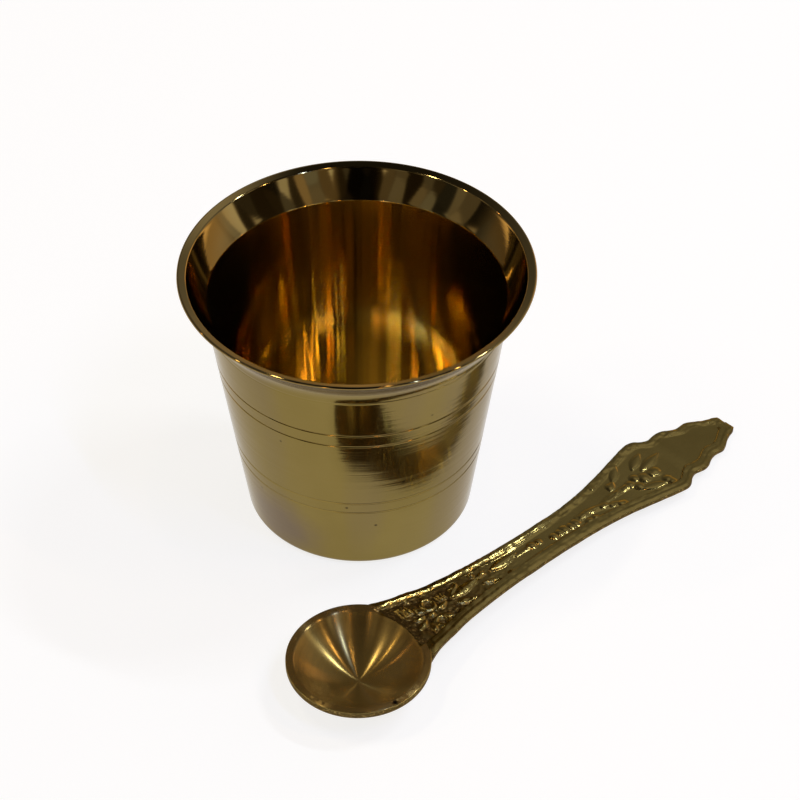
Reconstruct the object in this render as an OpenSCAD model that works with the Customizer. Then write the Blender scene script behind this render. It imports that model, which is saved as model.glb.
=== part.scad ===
// Brass water cup with a flared rim, and the cast spoon that lies beside it.
// The origin is the centre of the cup's base, on the table. Sizes are in millimetres.

/* [Cup] */
// Outside diameter of the flared rim
rim_d = 76; // [72:0.5:84]
// Height from the table to the top of the rim
cup_h = 63.5; // [56:0.5:72]
// Outside diameter that the cone of the body has at the table
base_d = 50.2; // [44:0.2:54]
// Outside diameter of the neck, where the flare starts
neck_d = 64.8; // [60:0.2:68]
// Height of the flare, from the neck to the top of the rim
flare_h = 9.5; // [8:0.1:12]
// Thickness of the turned wall
wall_t = 0.9; // [0.7:0.1:1.4]
// Thickness of the floor
floor_t = 2; // [1.5:0.1:4]
// Rounding between the base and the wall, outside
foot_r = 2; // [1:0.1:4]
// Rounding between the floor and the wall, inside
well_r = 3; // [1:0.1:6]

/* [Lip] */
// Width of the flat turned face on the rim
lip_w = 1.9; // [1.4:0.1:2.4]
// Fall of that face towards the inside
lip_fall = 0.5; // [0.2:0.1:0.8]
// Bevel that breaks the rim's outer edge
lip_edge = 0.4; // [0.2:0.05:0.6]
// Depth below the rim of the crease where the flare meets the inner wall
crease_drop = 6.5; // [5:0.1:7.5]

/* [Turned lines] */
// Height of the middle of the upper pair of lines
upper_pair_h = 42.1; // [34:0.1:44]
// Distance between the two upper lines
upper_pair_gap = 3.4; // [2:0.1:5]
// Height of the middle of the lower pair of lines
lower_pair_h = 19.8; // [12:0.1:28]
// Distance between the two lower lines
lower_pair_gap = 3.1; // [2:0.1:5]
// Depth of each line
line_depth = 0.2; // [0.1:0.05:0.4]

/* [Spoon bowl] */
// Outside diameter of the bowl
bowl_d = 30.4; // [28:0.2:34]
// Width of the bowl's flat rim
bowl_rim_w = 1.6; // [1:0.1:2.4]
// Height of the bowl's rim above the table
bowl_h = 8.5; // [7:0.1:11]
// Thickness of the metal under the middle of the bowl
bowl_floor_t = 1.1; // [0.8:0.1:2]
// Height of the bowl's upright outer edge
bowl_edge_h = 1.5; // [1:0.1:2.5]
// Diameter of the flat that the bowl rests on
bowl_seat_d = 7; // [4:0.5:12]

/* [Spoon handle] */
// Distance from the bowl's centre to the end of the handle
handle_reach = 116.2; // [108:0.2:126]
// Thickness of the handle where it leaves the bowl
handle_t = 2.2; // [1.6:0.1:2.8]
// Thickness of the handle at its end
end_t = 1.6; // [1.2:0.1:2]
// Drop from the bowl's rim to the top of the handle's root
root_drop = 0.4; // [0:0.1:1.2]
// Rise and fall of the handle's long S-curve
sway = 0.25; // [0:0.05:1.2]
// Width at the narrowest place of the stem
waist_w = 8.8; // [7:0.1:11]
// Distance from the bowl's centre to the narrowest place
waist_at = 50; // [44:0.5:58]
// Width of the root where it runs into the bowl
root_w = 24; // [20:0.1:26]
// Distance from the bowl's centre to the shoulders
shoulder_at = 92.3; // [84:0.2:98]
// Width across the shoulders
shoulder_w = 18.4; // [14:0.1:24]
// Width across the first pair of lobes after the shoulders
lobe_w = 14.2; // [12:0.1:18]
// Width across the second pair of lobes
small_lobe_w = 11; // [9:0.1:14]
// Width of the blunt end
end_w = 4.8; // [3:0.1:8]
// Depth of the first scallop, each later one being half as deep
scallop_depth = 1.4; // [0.6:0.1:2]

/* [Relief] */
// Width of the raised border along the handle's edges
border_w = 1.7; // [1.2:0.1:2.2]
// Depth of the sunken ground inside the border
ground_depth = 0.7; // [0.3:0.05:1]
// Distance from the bowl's centre to the middle of the flower
flower_at = 19.8; // [19:0.1:22]
// Length of a flower petal
petal_l = 3.4; // [2.4:0.1:4]
// Width of a flower petal
petal_w = 1.8; // [1.2:0.1:2.4]
// Diameter of the beads along the stem
bead_d = 1.5; // [1:0.1:2]

/* [Place of the spoon] */
// Turn of the spoon on the table
spoon_turn = 43.35; // [0:0.05:90]
// Clearance between the handle and the rim above it, seen from the top
lift_clear = 1.7; // [1:0.1:40]
// Distance that the bowl lies ahead of the place nearest to the cup
bowl_lead = 41; // [30:0.1:60]

/* [Hidden] */
$fn = 96;
past = 1;

// Cup, worked out from its driving sizes
rim_r = rim_d / 2;
neck_h = cup_h - flare_h;
body_slope = (neck_d - base_d) / 2 / neck_h;
crease_h = cup_h - crease_drop;
flare_steps = 10;
corner_steps = 8;
// Share of the flare over which its outside keeps the line of the body
flare_pull = 0.45;
// Bow of the flare's inside, outwards and up from a straight line
flare_bow = [0.3, -0.2];

function body_r(z) = base_d / 2 + body_slope * z;
function bend(a, b, c, t) = a * (1 - t) * (1 - t) + b * 2 * t * (1 - t) + c * t * t;
function bend_points(a, b, c, n) = [for (i = [0 : n]) bend(a, b, c, i / n)];
function arc_points(c, r, from, to, n) =
    [for (i = [0 : n]) c + r * [cos(from + (to - from) * i / n), sin(from + (to - from) * i / n)]];

// Centre of a corner of radius r between a level face at height z and the cone moved in by t
function corner_centre(r, z, t) =
    [body_r(z + r) - t - r * sqrt(1 + body_slope * body_slope), z + r];

// Spoon, worked out from its driving sizes
bowl_r = bowl_d / 2;
well_edge_r = bowl_r - bowl_rim_w;
well_depth = bowl_h - bowl_floor_t;
well_sphere_r = (well_edge_r * well_edge_r + well_depth * well_depth) / (2 * well_depth);
seat_r = bowl_seat_d / 2;
edge_low = bowl_h - bowl_edge_h;
back_centre = (bowl_r * bowl_r + edge_low * edge_low - seat_r * seat_r) / (2 * edge_low);
back_r = sqrt(seat_r * seat_r + back_centre * back_centre);
// Share of the bowl's radius at which the handle's blank starts, inside the bowl
root_share = 0.65;
root_at = bowl_r * root_share;
root_z = bowl_h - root_drop;
// Length and width of the sweep between the handle's edge and the bowl
fillet_l = 10;
fillet_w = 2.5;
fillet_end = root_at + fillet_l;
stem_step = 2;
side_steps = 28;
scallop_steps = 6;
scallops = 3;
scallop_l = (handle_reach - shoulder_at) / scallops;
head_half = [shoulder_w / 2, lobe_w / 2, small_lobe_w / 2, end_w / 2];
waist_half = waist_w / 2;
root_gain = root_w / 2 - fillet_w - waist_half;
head_gain = shoulder_w / 2 - waist_half;
// How late the stem opens towards the bowl and towards the head
root_power = 2;
head_power = 2.2;
back_steps = 12;

// Half width of the stem: a waist that opens both ways along smooth curves
function stem_half(s) =
    waist_half
    + root_gain * pow(max(0, (waist_at - s) / (waist_at - root_at)), root_power)
    + head_gain * pow(max(0, (s - waist_at) / (shoulder_at - waist_at)), head_power);

// Extra width close to the bowl, where the stem's edge sweeps into the rim
function fillet_half(s) = fillet_w * pow(max(0, (fillet_end - s) / (fillet_end - root_at)), 2);

// Height of the handle's top, which falls from the bowl to the table in a long S
function along(s) = min(1, max(0, (s - root_at) / (handle_reach - root_at)));
function thick(s) = handle_t + (end_t - handle_t) * along(s);
function top_z(s) = root_z + (end_t - root_z) * along(s) - sway * sin(360 * along(s));
function ground_z(s) = top_z(s) - ground_depth;
function pitch(s) = atan2(top_z(s + 1) - top_z(s - 1), 2);

// One scallop: a dip between two lobes, deepest at two thirds of the way and one deep there
function dip(t) = 27 / 4 * t * t * (1 - t);
function scallop(a, b, depth) =
    [for (i = [1 : scallop_steps])
        let (t = i / scallop_steps)
        a + (b - a) * t - [0, depth * dip(t)]];

// Width of the long leaves on the stem and of the bud on the head
long_leaf_w = petal_w * 1.2;

// Edge of the handle from the bowl to its end, moved in by a border
function stem_edge(inset, fillet) =
    [for (s = [root_at : stem_step : shoulder_at - stem_step / 2])
        [s, stem_half(s) + (fillet ? fillet_half(s) : 0) - inset]];
function lobe(i, inset) = [shoulder_at + i * scallop_l - (i == scallops ? inset : 0), head_half[i] - inset];
function head_edge(inset) =
    concat([lobe(0, inset)],
        [for (i = [0 : scallops - 1])
            each scallop(lobe(i, inset), lobe(i + 1, inset), scallop_depth / pow(2, i))]);
function half_edge(inset, fillet) = concat(stem_edge(inset, fillet), head_edge(inset));

module plan(inset, fillet) {
    edge = half_edge(inset, fillet);
    polygon(concat(edge, [for (p = reversed(edge)) [p.x, -p.y]]));
}

// Band between two lines of heights along the handle, seen from the side
function stations() =
    let (start = root_at - past, l = handle_reach + past - start)
    [for (i = [0 : side_steps]) start + l * i / side_steps];
function reversed(points) = [for (i = [len(points) - 1 : -1 : 0]) points[i]];
module side_band(low, high) {
    rotate([90, 0, 0])
        linear_extrude(height = 2 * shoulder_w, center = true)
            polygon(concat(high, reversed(low)));
}

module handle_blank() {
    intersection() {
        translate([0, 0, -past])
            linear_extrude(height = bowl_h + 2 * past)
                plan(0, true);
        side_band([for (s = stations()) [s, top_z(s) - thick(s)]], [for (s = stations()) [s, top_z(s)]]);
    }
}

module sunken_ground() {
    intersection() {
        translate([0, 0, -past])
            linear_extrude(height = bowl_h + 4 * past)
                plan(border_w, false);
        side_band([for (s = stations()) [s, ground_z(s)]], [for (s = stations()) [s, top_z(s) + 2 * past]]);
    }
}

module bowl_blank() {
    back_from = atan2(-back_centre, seat_r);
    back_to = atan2(edge_low - back_centre, bowl_r);
    back = arc_points([0, back_centre], back_r, back_from, back_to, back_steps);
    rotate_extrude()
        polygon(concat([[0, 0]], back, [[bowl_r, bowl_h], [0, bowl_h]]));
}

module bowl_well() {
    translate([0, 0, bowl_floor_t + well_sphere_r])
        sphere(r = well_sphere_r);
}

// A pointed leaf with a domed back, lying on the sunken ground
module leaf(s, w, turn, l, b) {
    side_r = (l * l + b * b) / (4 * b);
    dome_r = (l * l / 4 + ground_depth * ground_depth) / (2 * ground_depth);
    translate([s, w, ground_z(s)])
        rotate([0, -pitch(s), 0])
            rotate([0, 0, turn])
                intersection() {
                    translate([0, side_r - b / 2, 0])
                        cylinder(r = side_r, h = 2 * ground_depth, center = true);
                    translate([0, b / 2 - side_r, 0])
                        cylinder(r = side_r, h = 2 * ground_depth, center = true);
                    translate([0, 0, ground_depth - dome_r])
                        sphere(r = dome_r);
                }
}

module bead(s, w, d) {
    translate([s, w, ground_z(s)])
        sphere(d = d);
}

module flower() {
    petals = 6;
    bead(flower_at, 0, bead_d);
    for (i = [0 : petals - 1]) {
        turn = 360 / petals * i;
        away = (petal_l + bead_d) / 2;
        leaf(flower_at + away * cos(turn), away * sin(turn), turn, petal_l, petal_w);
    }
}

// Two long leaves and a row of beads lead from the flower up the stem
module stem_relief() {
    plain_gap = 1;
    first = flower_at + petal_l + bead_d + plain_gap;
    long_leaf = (waist_at - first) / 3;
    side_leaf_at = first + long_leaf * 1.2;
    side_leaf_out = waist_half * 0.45;
    side_leaf_turn = 24;
    side_leaf_w = petal_w * 0.7;
    bead_start = waist_at + 2;
    bead_step = 3.1;
    beads = 5;
    leaf(first + long_leaf / 2, 0, 0, long_leaf, long_leaf_w);
    leaf(first + long_leaf * 2, 0, 0, long_leaf, long_leaf_w);
    for (side = [-1, 1])
        leaf(side_leaf_at, side * side_leaf_out, side * side_leaf_turn, petal_l, side_leaf_w);
    for (i = [0 : beads - 1])
        bead(bead_start + bead_step * i, 0, bead_d);
}

// A spray of paired leaves with a bud fills the wide head
module head_relief() {
    pairs = 3;
    pitch_l = (shoulder_at - waist_at) / 6;
    first = shoulder_at - pairs * pitch_l;
    spread = 0.42;
    spray_turn = 32;
    spray_l = petal_l * 1.3;
    bud_l = petal_l * 1.6;
    for (i = [0 : pairs - 1]) {
        s = first + pitch_l * i;
        for (side = [-1, 1])
            leaf(s, side * stem_half(s) * spread, side * spray_turn, spray_l, petal_w);
        bead(s - pitch_l / 3, 0, bead_d);
    }
    leaf(shoulder_at - pitch_l / 3, 0, 0, bud_l, long_leaf_w);
}

module cup() {
    foot = corner_centre(foot_r, 0, 0);
    well = corner_centre(well_r, floor_t, wall_t);
    lean = atan(body_slope);
    neck = [body_r(neck_h), neck_h];
    pull_h = neck_h + flare_h * flare_pull;
    neck_pull = [body_r(pull_h), pull_h];
    rim_under = [rim_r, cup_h - lip_edge];
    lip_in = [rim_r - lip_w, cup_h - lip_fall];
    crease = [body_r(crease_h) - wall_t, crease_h];
    bow_point = (crease + lip_in) / 2 + flare_bow;
    color("#b0904c")
        difference() {
            rotate_extrude()
                polygon(concat(
                    [[0, 0]],
                    arc_points(foot, foot_r, -90, -lean, corner_steps),
                    bend_points(neck, neck_pull, rim_under, flare_steps),
                    [[rim_r - lip_edge, cup_h]],
                    bend_points(lip_in, bow_point, crease, flare_steps / 2),
                    arc_points(well, well_r, -lean, -90, corner_steps),
                    [[0, floor_t]]));
            for (h = [upper_pair_h, lower_pair_h])
                for (side = [-1, 1])
                    turned_line(h + side * (h == upper_pair_h ? upper_pair_gap : lower_pair_gap) / 2);
        }
}

// A shallow groove round the body
module turned_line(h) {
    rotate_extrude()
        translate([body_r(h), h])
            circle(r = line_depth, $fn = 24);
}

module spoon() {
    color("#8f7740")
        rotate([0, 0, spoon_turn])
            translate([-bowl_lead, -(rim_r + waist_half + lift_clear), 0]) {
                difference() {
                    union() {
                        bowl_blank();
                        handle_blank();
                    }
                    bowl_well();
                    sunken_ground();
                }
                flower();
                stem_relief();
                head_relief();
            }
}

cup();
spoon();
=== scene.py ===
import math

import bpy
import numpy as np
from mathutils import Matrix, Vector


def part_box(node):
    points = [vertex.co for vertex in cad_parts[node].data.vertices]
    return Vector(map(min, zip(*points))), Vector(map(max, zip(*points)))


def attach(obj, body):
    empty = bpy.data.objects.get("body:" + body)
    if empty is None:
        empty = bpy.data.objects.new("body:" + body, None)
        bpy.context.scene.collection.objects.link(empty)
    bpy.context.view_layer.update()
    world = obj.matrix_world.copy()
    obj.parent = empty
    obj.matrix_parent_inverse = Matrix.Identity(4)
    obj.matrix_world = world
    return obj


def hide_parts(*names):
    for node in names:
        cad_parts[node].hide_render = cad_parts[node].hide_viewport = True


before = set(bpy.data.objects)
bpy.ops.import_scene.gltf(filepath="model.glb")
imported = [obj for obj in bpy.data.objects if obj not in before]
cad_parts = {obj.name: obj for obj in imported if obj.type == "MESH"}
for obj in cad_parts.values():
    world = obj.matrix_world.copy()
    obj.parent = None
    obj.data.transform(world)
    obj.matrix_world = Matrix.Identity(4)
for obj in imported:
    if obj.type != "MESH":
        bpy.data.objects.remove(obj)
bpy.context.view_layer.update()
mm = 0.001
mergeWithin = 0.0005 * mm
smoothDeg = 40           # edges that turn by more than this stay sharp
print("frame loaded, nodes:", sorted(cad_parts))


# Mesh helpers

def deselectAll():
    if bpy.context.object and bpy.context.object.mode != 'OBJECT':
        bpy.ops.object.mode_set(mode='OBJECT')
    bpy.ops.object.select_all(action='DESELECT')


def makeActive(piece):
    deselectAll()
    piece.select_set(True)
    bpy.context.view_layer.objects.active = piece


def readAll(items, what):
    values = np.zeros(len(items) * 3)
    items.foreach_get(what, values)
    return values.reshape(-1, 3)


def turnOnLathe(name, profile, steps):
    # a profile of (radius, height) points in mm is drawn vertex by vertex and spun round Z
    deselectAll()
    bpy.ops.mesh.primitive_plane_add(size=mm)
    piece = bpy.context.active_object
    piece.name = name
    bpy.ops.object.mode_set(mode='EDIT')
    bpy.ops.mesh.select_all(action='SELECT')
    bpy.ops.mesh.merge(type='CENTER')
    bpy.ops.transform.translate(value=(profile[0][0] * mm, 0, profile[0][1] * mm))
    for here, there in zip(profile, profile[1:]):
        step = ((there[0] - here[0]) * mm, 0, (there[1] - here[1]) * mm)
        bpy.ops.mesh.extrude_region_move(TRANSFORM_OT_translate={"value": step})
    bpy.ops.mesh.select_all(action='SELECT')
    bpy.ops.mesh.spin(steps=steps, angle=2 * math.pi, center=(0, 0, 0), axis=(0, 0, 1))
    bpy.ops.mesh.select_all(action='SELECT')
    bpy.ops.mesh.remove_doubles(threshold=mergeWithin)
    bpy.ops.mesh.normals_make_consistent(inside=False)
    bpy.ops.object.mode_set(mode='OBJECT')
    return piece


def joinSolids(piece, tool, operation):
    makeActive(piece)
    change = piece.modifiers.new(operation.lower(), 'BOOLEAN')
    change.operation = operation
    change.solver = 'MANIFOLD'
    change.object = tool
    bpy.ops.object.modifier_apply(modifier=change.name)
    bpy.data.objects.remove(tool)


def arc(centre, radius, fromDeg, toDeg, steps):
    angles = np.radians(np.linspace(fromDeg, toDeg, steps + 1))
    return [(centre[0] + radius * math.cos(a), centre[1] + radius * math.sin(a)) for a in angles]


def bend(start, pull, end, steps):
    t = np.linspace(0, 1, steps + 1)[:, None]
    start, pull, end = (np.array(p) for p in (start, pull, end))
    points = start * (1 - t) ** 2 + pull * 2 * t * (1 - t) + end * t ** 2
    return [tuple(p) for p in points]


def straight(start, end, steps):
    t = np.linspace(0, 1, steps + 1)[:, None]
    return [tuple(p) for p in np.array(start) * (1 - t) + np.array(end) * t]


def roundCorner(before, corner, after, radius, steps):
    # a small turned radius in place of a sharp corner
    corner = np.array(corner)
    toBefore = np.array(before) - corner
    toAfter = np.array(after) - corner
    toBefore = toBefore / np.linalg.norm(toBefore)
    toAfter = toAfter / np.linalg.norm(toAfter)
    return bend(corner + toBefore * radius, corner, corner + toAfter * radius, steps)


# Cup: one turned casting, sizes in mm

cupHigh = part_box("cup")[1]
cup = {
    "rimR": cupHigh.x / mm,          # outside of the flared rim
    "height": cupHigh.z / mm,
    "baseR": 25.1,                   # the body's cone at the table
    "neckR": 32.4,                   # where the flare starts
    "flareH": 9.5,
    "flareGap": 0.6,                 # its curve begins this far above the neck
    "flarePull": 0.45,               # how far up the flare the cone keeps its line
    "flareBow": (0.3, -0.2),         # inside, the flare bows out and down from a straight line
    "wall": 0.9,
    "floor": 2.0,
    "footR": 2.0,
    "wellR": 3.0,
    "lipW": 1.9,                     # flat turned face on the rim, falling inwards
    "lipFall": 0.5,
    "lipRound": 0.22,
    "lipEdge": 0.4,
    "lipEdgePull": (0.05, 0.02),     # how close the rounded edge comes to a sharp one
    "creaseDrop": 6.5,               # inside, where the flare meets the wall
    "creaseRound": 0.18,
    "lines": (                       # scribed lines from the foot up: height, depth, half width
        (18.25, 0.13, 0.3), (21.35, 0.13, 0.3), (40.4, 0.2, 0.3), (43.8, 0.2, 0.3), (54.1, 0.05, 0.35)),
    "lineGaps": (0.08, 0.25, 0.7),   # the wall's first points beside a line
    "centreMark": (1.6, 0.25),       # radius and depth of the dimple that the tailstock leaves
    "baseRings": (8, 15),            # circles of points on the flat base and floor
    "floorRings": (16, 8, 0),
    "steps": 288,
}


def coneR(z):
    neckH = cup["height"] - cup["flareH"]
    return cup["baseR"] + (cup["neckR"] - cup["baseR"]) * z / neckH


def turnedLine(height, depth, half):
    # scribed groove with soft shoulders, seen in section
    return [(coneR(height + half * x) - depth * math.cos(x * math.pi / 2) ** 2, height + half * x)
            for x in np.linspace(-1, 1, 9)]


def coneRun(fromH, toH):
    # plain wall between two lines: close points at its ends keep the shading straight
    span = toH - fromH
    first, second, third = cup["lineGaps"]
    heights = [first, second, *np.linspace(third, span - third, 6), span - second, span - first]
    return [(coneR(fromH + h), fromH + h) for h in heights]


def cupProfile():
    height = cup["height"]
    slope = (cup["neckR"] - cup["baseR"]) / (height - cup["flareH"])
    lean = math.degrees(math.atan(slope))
    skew = math.sqrt(1 + slope * slope)
    footC = (coneR(cup["footR"]) - cup["footR"] * skew, cup["footR"])
    wellZ = cup["floor"] + cup["wellR"]
    wellC = (coneR(wellZ) - cup["wall"] - cup["wellR"] * skew, wellZ)
    neckH = height - cup["flareH"]
    flareFrom = neckH + cup["flareGap"]
    pullH = neckH + cup["flarePull"] * cup["flareH"]
    rimUnder = (cup["rimR"], height - cup["lipEdge"])
    edgePull = (cup["rimR"] - cup["lipEdgePull"][0], height - cup["lipEdgePull"][1])
    rimTop = (cup["rimR"] - cup["lipEdge"], height)
    lipIn = (cup["rimR"] - cup["lipW"], height - cup["lipFall"])
    creaseH = height - cup["creaseDrop"]
    crease = (coneR(creaseH) - cup["wall"], creaseH)
    bow = cup["flareBow"]
    innerPull = ((lipIn[0] + crease[0]) / 2 + bow[0], (lipIn[1] + crease[1]) / 2 + bow[1])

    markR, markDepth = cup["centreMark"]
    base = [(0, markDepth), (markR / 2, markDepth * 0.4), (markR, 0)]
    base += [(r, 0) for r in cup["baseRings"]]
    foot = arc(footC, cup["footR"], -90, -lean, steps=12)
    body = []
    reached = foot[-1][1]
    for h, depth, half in cup["lines"]:
        body += coneRun(reached, h - half) + turnedLine(h, depth, half)
        reached = h + half
    flare = bend((coneR(flareFrom), flareFrom), (coneR(pullH), pullH), rimUnder, steps=26)
    edge = bend(rimUnder, edgePull, rimTop, steps=6)
    lipFace = straight(rimTop, lipIn, steps=8)
    inFlare = bend(lipIn, innerPull, crease, steps=26)
    lipCorner = roundCorner(lipFace[-3], lipIn, inFlare[2], cup["lipRound"], steps=5)
    inWall = straight(crease, (coneR(wellZ) - cup["wall"], wellZ), steps=30)
    creaseCorner = roundCorner(inFlare[-3], crease, inWall[2], cup["creaseRound"], steps=5)
    well = arc(wellC, cup["wellR"], -lean, -90, steps=12)
    inside = [(r, cup["floor"]) for r in cup["floorRings"]]
    return (base + foot + body + flare + edge[1:] + lipFace[1:-1] + lipCorner + inFlare[2:-2]
            + creaseCorner + inWall[2:-1] + well + inside)


cupPiece = turnOnLathe("cupTurned", cupProfile(), cup["steps"])
bpy.ops.object.shade_smooth_by_angle(angle=math.radians(smoothDeg))
print("cup turned:", len(cupPiece.data.polygons), "faces")


# Spoon: one casting, sizes in mm along the handle from the bowl's centre (s), across it (w) and up (z)

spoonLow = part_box("spoon")[0]
spoon = {
    "turnDeg": 43.35,            # how the spoon lies on the table
    "bowlR": 15.2,
    "rimW": 1.7,                 # flat ring round the bowl
    "rimH": 8.5,
    "wellRound": 0.45,           # the well's edge, and the outer edge of the bowl, are a little rounded
    "topEdgeRound": 0.22,
    "lowEdgeRound": 0.35,
    "bowlFloor": 1.1,
    "edgeH": 1.5,                # upright outer edge of the bowl
    "seatR": 3.5,
    "flatRings": (1.5, 10),      # circles of points on the flat seat and on the blank's top
    "reach": 116.2,              # to the end of the handle
    "rootAt": 9.88,
    "rootZ": 8.85,
    "rootT": 2.2,
    "endT": 1.6,
    "sway": 0.25,                # slow rise and fall along the handle
    "sag": (0.55, 11, 24, 78, 94),     # the stem hangs this far below a straight run
    "halves": (                  # distance along the handle and half its width there
        (9.88, 11.1), (12.5, 9.95), (15, 8.95), (17.5, 8.3), (20, 7.75), (25, 6.65), (30, 6.05),
        (36, 5.5), (46, 4.95), (53, 4.8), (62, 4.98), (70, 5.5), (76, 6.35), (82, 7.55), (88, 8.85),
        (90.8, 9.4), (92.6, 9.55), (94.0, 9.1), (95.8, 7.85), (97.3, 7.35), (98.8, 7.55), (100.2, 7.72),
        (101.9, 7.4), (104.2, 6.3), (105.8, 5.9), (107.2, 6.0), (108.4, 6.05), (109.9, 5.5),
        (112.2, 4.15), (114, 3.4), (115.3, 3.05), (116.2, 2.5)),
    "drift": (-0.3, 10, 16, 60, 85),   # the root and stem lie this far off the middle line
    "filletW": 1.7,              # the web beside the border where the handle spreads into the bowl
    "filletL": 7.6,
    "edgeT": 0.8,                # thin upright edge, then the underside runs in
    "underRun": 1.7,
    "underCurve": 0.8,
    "underDrop": 1.2,            # the underside falls towards the bowl
    "underDropTo": 24,
    "underDropL": 14,
    "panelCut": (11.6, 16, 8.5, 7.1),  # the panel's start: from, to, half width and lowest place
    "pitAt": (-2.9, -14.1, 8.45),      # a casting pit in the bowl's flat rim
    "pitR": 0.8,
    "pitDeep": 0.4,
    "rows": 520,
    "topColumns": 84,
    "edgePacking": 0.25,         # draws the face's columns of points together at the edges
    "backColumns": 15,
    "sideColumns": 5,            # how many of them lie on each side
    "bowlSteps": 192,
}
reach, bowlR, rimH = spoon["reach"], spoon["bowlR"], spoon["rimH"]
bowlCentre = Vector((spoonLow.x + bowlR * mm, spoonLow.y + bowlR * mm, 0))
onTable = Matrix.Translation(bowlCentre) @ Matrix.Rotation(math.radians(spoon["turnDeg"]), 4, 'Z')


def smooth(low, high, x):
    t = np.clip((x - low) / (high - low), 0, 1)
    return t * t * (3 - 2 * t)


def ramp(change, s):
    # a change (amount, from, to) grows between two places along the handle, and may fade past them
    amount, low, high, *fade = change
    grown = amount * smooth(low, high, s)
    return grown * (1 - smooth(*fade, s)) if fade else grown


def randomBumps(s, w, layers):
    # smooth bumps up and down, each layer with its height, the spacing of its knots in mm and a seed
    rows, columns = 256, 64
    total = np.zeros(s.shape)
    for most, size, seed in layers:
        knots = np.random.RandomState(seed).uniform(-1, 1, (rows, columns))
        a, b = s / size + 8, w / size + columns / 2
        i, j = np.floor(a).astype(int), np.floor(b).astype(int)
        fa, fb = smooth(0, 1, a - i), smooth(0, 1, b - j)
        i, j = i % (rows - 1), j % (columns - 1)
        low = knots[i, j] * (1 - fa) + knots[i + 1, j] * fa
        high = knots[i, j + 1] * (1 - fa) + knots[i + 1, j + 1] * fa
        total = total + most * (low * (1 - fb) + high * fb)
    return total


def softLine(points, x):
    # an even curve through a few points
    px, py = np.array(points).T
    slope = np.gradient(py, px)
    i = np.clip(np.searchsorted(px, x) - 1, 0, len(px) - 2)
    span = px[i + 1] - px[i]
    t = np.clip((x - px[i]) / span, 0, 1)
    rise = py[i] + (py[i + 1] - py[i]) * t * t * (3 - 2 * t)
    return rise + span * t * (1 - t) * (slope[i] * (1 - t) - slope[i + 1] * t)


def halfWidth(s):
    return softLine(spoon["halves"], s)


def drift(s):
    return ramp(spoon["drift"], s)


def filletHalf(s):
    left = np.clip((spoon["rootAt"] + spoon["filletL"] - s) / spoon["filletL"], 0, None)
    return spoon["filletW"] * left ** 2


def along(s):
    return np.clip((s - spoon["rootAt"]) / (reach - spoon["rootAt"]), 0, 1)


def crestZ(s):
    fall = (spoon["endT"] - spoon["rootZ"]) * along(s)
    sway = spoon["sway"] * np.sin(2 * math.pi * along(s))
    return spoon["rootZ"] + fall - sway - ramp(spoon["sag"], s)


def thickness(s):
    return spoon["rootT"] + (spoon["endT"] - spoon["rootT"]) * along(s)


# Relief on the handle: each motif is a dome from 0 to 1 over the sunken ground

domeCurve, beadCurve = 0.8, 0.9      # under 1 a motif is flatter on top


def leafDome(s, w, start, end, half, hollow, fullness):
    start, end = np.array(start), np.array(end)
    length = np.linalg.norm(end - start)
    way = (end - start) / length
    u = ((s - start[0]) * way[0] + (w - start[1]) * way[1]) / length
    v = (w - start[1]) * way[0] - (s - start[0]) * way[1]
    here = half * np.sin(math.pi * np.clip(u, 0, 1) ** fullness)
    q = np.clip(1 - (v / np.maximum(here, 0.01)) ** 2, 0, 1) * ((u > 0) & (u < 1))
    return q ** domeCurve * (1 - hollow * q ** 2)


def beadDome(s, w, place, radius):
    q = np.clip(1 - ((s - place[0]) ** 2 + (w - place[1]) ** 2) / radius ** 2, 0, 1)
    return q ** beadCurve


def ringDome(s, w, place, radius, half):
    off = np.hypot(s - place[0], w - place[1]) - radius
    return np.clip(1 - (off / half) ** 2, 0, 1) ** domeCurve


def ridgeDome(s, w, points, half):
    # a soft ridge along a few points, as the stalk of the vine has
    best = np.full(s.shape, 1e9)
    for start, end in zip(points, points[1:]):
        start, end = np.array(start), np.array(end)
        way = end - start
        u = np.clip(((s - start[0]) * way[0] + (w - start[1]) * way[1]) / way.dot(way), 0, 1)
        best = np.minimum(best, np.hypot(s - start[0] - u * way[0], w - start[1] - u * way[1]))
    return np.clip(1 - (best / half) ** 2, 0, 1)


flowerAt = (20.6, -0.4)
petals = (  # angle, inner and outer distance from the flower's middle, half width, hollow
    (12, 1.4, 5.5, 0.85, 0.1),
    (122, 1.2, 4.4, 0.95, 0.3),
    (172, 1.3, 4.9, 0.8, 0.1),
    (200, 2.0, 6.2, 0.8, 0.1),
    (232, 1.6, 5.6, 0.95, 0.3),
    (318, 1.4, 5.0, 0.9, 0.2),
)
rings = (  # place, radius, half width
    ((21.9, 2.3), 1.45, 0.6),
    ((21.0, -3.3), 1.4, 0.6),
)
leaves = (  # start, end, half width, hollow
    ((26.8, 0.5), (36.4, 1.5), 1.35, 0.0),
    ((39.2, 1.2), (48.0, 1.5), 1.25, 0.0),
    ((26.8, 0.7), (31.4, 3.2), 0.7, 0.2),
    ((26.6, -1.0), (32.0, -2.9), 0.9, 0.2),
    ((35.2, 0.9), (38.8, 2.4), 0.6, 0.0),
    ((35.4, -0.4), (39.8, -2.0), 0.7, 0.0),
    ((88.2, 1.2), (96.0, 2.8), 1.3, 0.0),
    ((86.8, 2.8), (92.6, 5.6), 1.2, 0.2),
    ((80.6, 3.0), (85.4, 6.4), 1.1, 0.2),
    ((84.0, -2.8), (90.6, -5.4), 1.2, 0.2),
    ((78.0, 1.4), (81.0, 3.2), 1.1, 0.0),
)
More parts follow.
